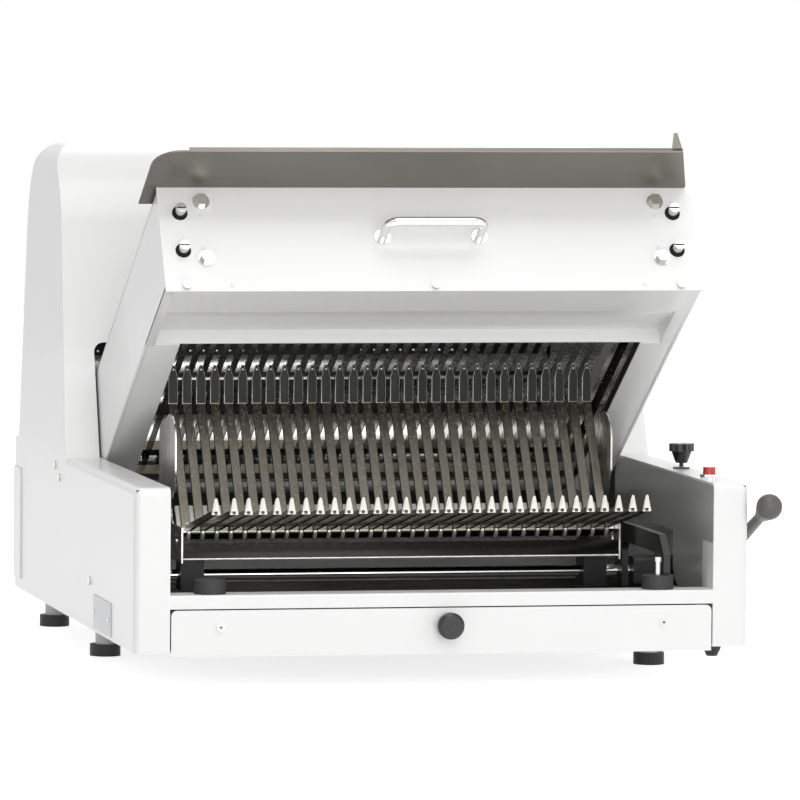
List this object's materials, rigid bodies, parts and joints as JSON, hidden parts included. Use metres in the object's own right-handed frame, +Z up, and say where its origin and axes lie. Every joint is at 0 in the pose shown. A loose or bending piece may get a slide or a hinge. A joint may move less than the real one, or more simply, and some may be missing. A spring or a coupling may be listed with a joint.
{
  "type": "bread slicer",
  "caption": "Bench-top bread slicer: a swinging head with reciprocating blades comes down on a loaf held in a comb cradle tipped by a hand lever.",
  "frame": {"origin": "on the bench, midway between the side arms, below their front faces", "axes": "+X to the operator's right, +Y to the back, +Z up"},
  "size_m": [0.5769, 0.669, 0.4843],
  "materials": {
    "side_left": "white enamel",
    "side_right": "white enamel",
    "arm_liners": "brushed",
    "deck": "white enamel",
    "back_panel": "white enamel",
    "rear_plate": "white enamel",
    "cover": "white enamel",
    "sill": "white enamel",
    "bumpers": "moulded",
    "stop_screw": "turned",
    "foot_pads": "moulded",
    "foot_spacers": "turned",
    "buffer": "moulded",
    "shaft_bearings": "black",
    "pivot_brackets": "as cast",
    "pivot_shaft": "ground",
    "blank_plate": "plain",
    "plate_rivets": "plain",
    "side_screws": "plain",
    "knob_washer": "moulded",
    "star_knob": "moulded",
    "button_ring": "plated",
    "push_button": "moulded",
    "tray_pan": "rolled",
    "tray_front": "white enamel",
    "tray_knob": "moulded",
    "tray_screws": "plain",
    "head_panel": "white enamel",
    "wings": "white enamel",
    "pivot_tube": "turned",
    "throat_plate": "white enamel",
    "guard": "brushed",
    "handle": "polished",
    "panel_washers": "plain",
    "panel_bolts": "plain",
    "plungers": "turned",
    "cap_screws": "plain",
    "frame_rails_a": "milled",
    "frame_bars_a": "blackened",
    "blades_a": "ground",
    "frame_rails_b": "milled",
    "frame_bars_b": "blackened",
    "blades_b": "ground",
    "guide_rails": "milled",
    "cross_shaft": "ground",
    "shaft_clamps": "black",
    "comb_shelf": "polished",
    "root_rod": "ground",
    "fingers": "polished",
    "spacer_tubes": "turned",
    "strips": "rolled",
    "comb_bar": "rolled",
    "comb_sides": "polished",
    "stop_arm": "black",
    "lever": "as cast",
    "lever_ball": "as cast"
  },
  "bodies": {
    "base": {"side_left": "side_left", "side_right": "side_right", "arm_liners": "arm_liners", "deck": "deck", "back_panel": "back_panel", "rear_plate": "rear_plate", "cover": "cover", "sill": "sill", "bumpers": "bumpers", "stop_screw": "stop_screw", "foot_pads": "foot_pads", "foot_spacers": "foot_spacers", "buffer": "buffer", "shaft_bearings": "shaft_bearings", "pivot_brackets": "pivot_brackets", "pivot_shaft": "pivot_shaft", "blank_plate": "blank_plate", "plate_rivets": "plate_rivets", "side_screws": "side_screws", "knob_washer": "knob_washer", "button_ring": "button_ring"},
    "tray": {"tray_pan": "tray_pan", "tray_front": "tray_front", "tray_knob": "tray_knob", "tray_screws": "tray_screws"},
    "head": {"head_panel": "head_panel", "wings": "wings", "pivot_tube": "pivot_tube", "throat_plate": "throat_plate", "guard": "guard", "handle": "handle", "panel_washers": "panel_washers", "panel_bolts": "panel_bolts", "plungers": "plungers", "cap_screws": "cap_screws", "guide_rails": "guide_rails"},
    "blade_frame_a": {"frame_rails_a": "frame_rails_a", "frame_bars_a": "frame_bars_a", "blades_a": "blades_a"},
    "blade_frame_b": {"frame_rails_b": "frame_rails_b", "frame_bars_b": "frame_bars_b", "blades_b": "blades_b"},
    "cradle": {"cross_shaft": "cross_shaft", "shaft_clamps": "shaft_clamps", "comb_shelf": "comb_shelf", "root_rod": "root_rod", "fingers": "fingers", "spacer_tubes": "spacer_tubes", "strips": "strips", "comb_bar": "comb_bar", "comb_sides": "comb_sides", "stop_arm": "stop_arm", "lever": "lever", "lever_ball": "lever_ball"},
    "knob": {"star_knob": "star_knob"},
    "button": {"push_button": "push_button"}
  },
  "joints": [
    {"name": "tray_slide", "type": "slide", "parent": "base", "child": "tray", "axis": [0, -1, 0], "range_m": [0, 0.24]},
    {"name": "head_swing", "type": "hinge", "parent": "base", "child": "head", "pos_m": [0, 0.487, 0.15], "axis": [1, 0, 0], "range_deg": [0, 20]},
    {"name": "blade_slide_a", "type": "slide", "parent": "head", "child": "blade_frame_a", "axis": [0, -0.8634, 0.5045], "range_m": [-0.012, 0.012]},
    {"name": "blade_slide_b", "type": "slide", "parent": "head", "child": "blade_frame_b", "axis": [0, -0.8634, 0.5045], "range_m": [-0.012, 0.012]},
    {"name": "cradle_tip", "type": "hinge", "parent": "base", "child": "cradle", "pos_m": [0, 0.185, 0.086], "axis": [-1, 0, 0], "range_deg": [0, 52]},
    {"name": "knob_turn", "type": "hinge", "parent": "base", "child": "knob", "pos_m": [0.2573, 0.1757, 0.18], "axis": [0, 0, 1], "continuous": true},
    {"name": "button_press", "type": "slide", "parent": "base", "child": "button", "axis": [0, 0, -1], "range_m": [0, 0.003], "stiffness_N_per_m": 900}
  ],
  "couplings": [
    {"joint": "blade_slide_b", "follows": "blade_slide_a", "ratio": -1}
  ]
}
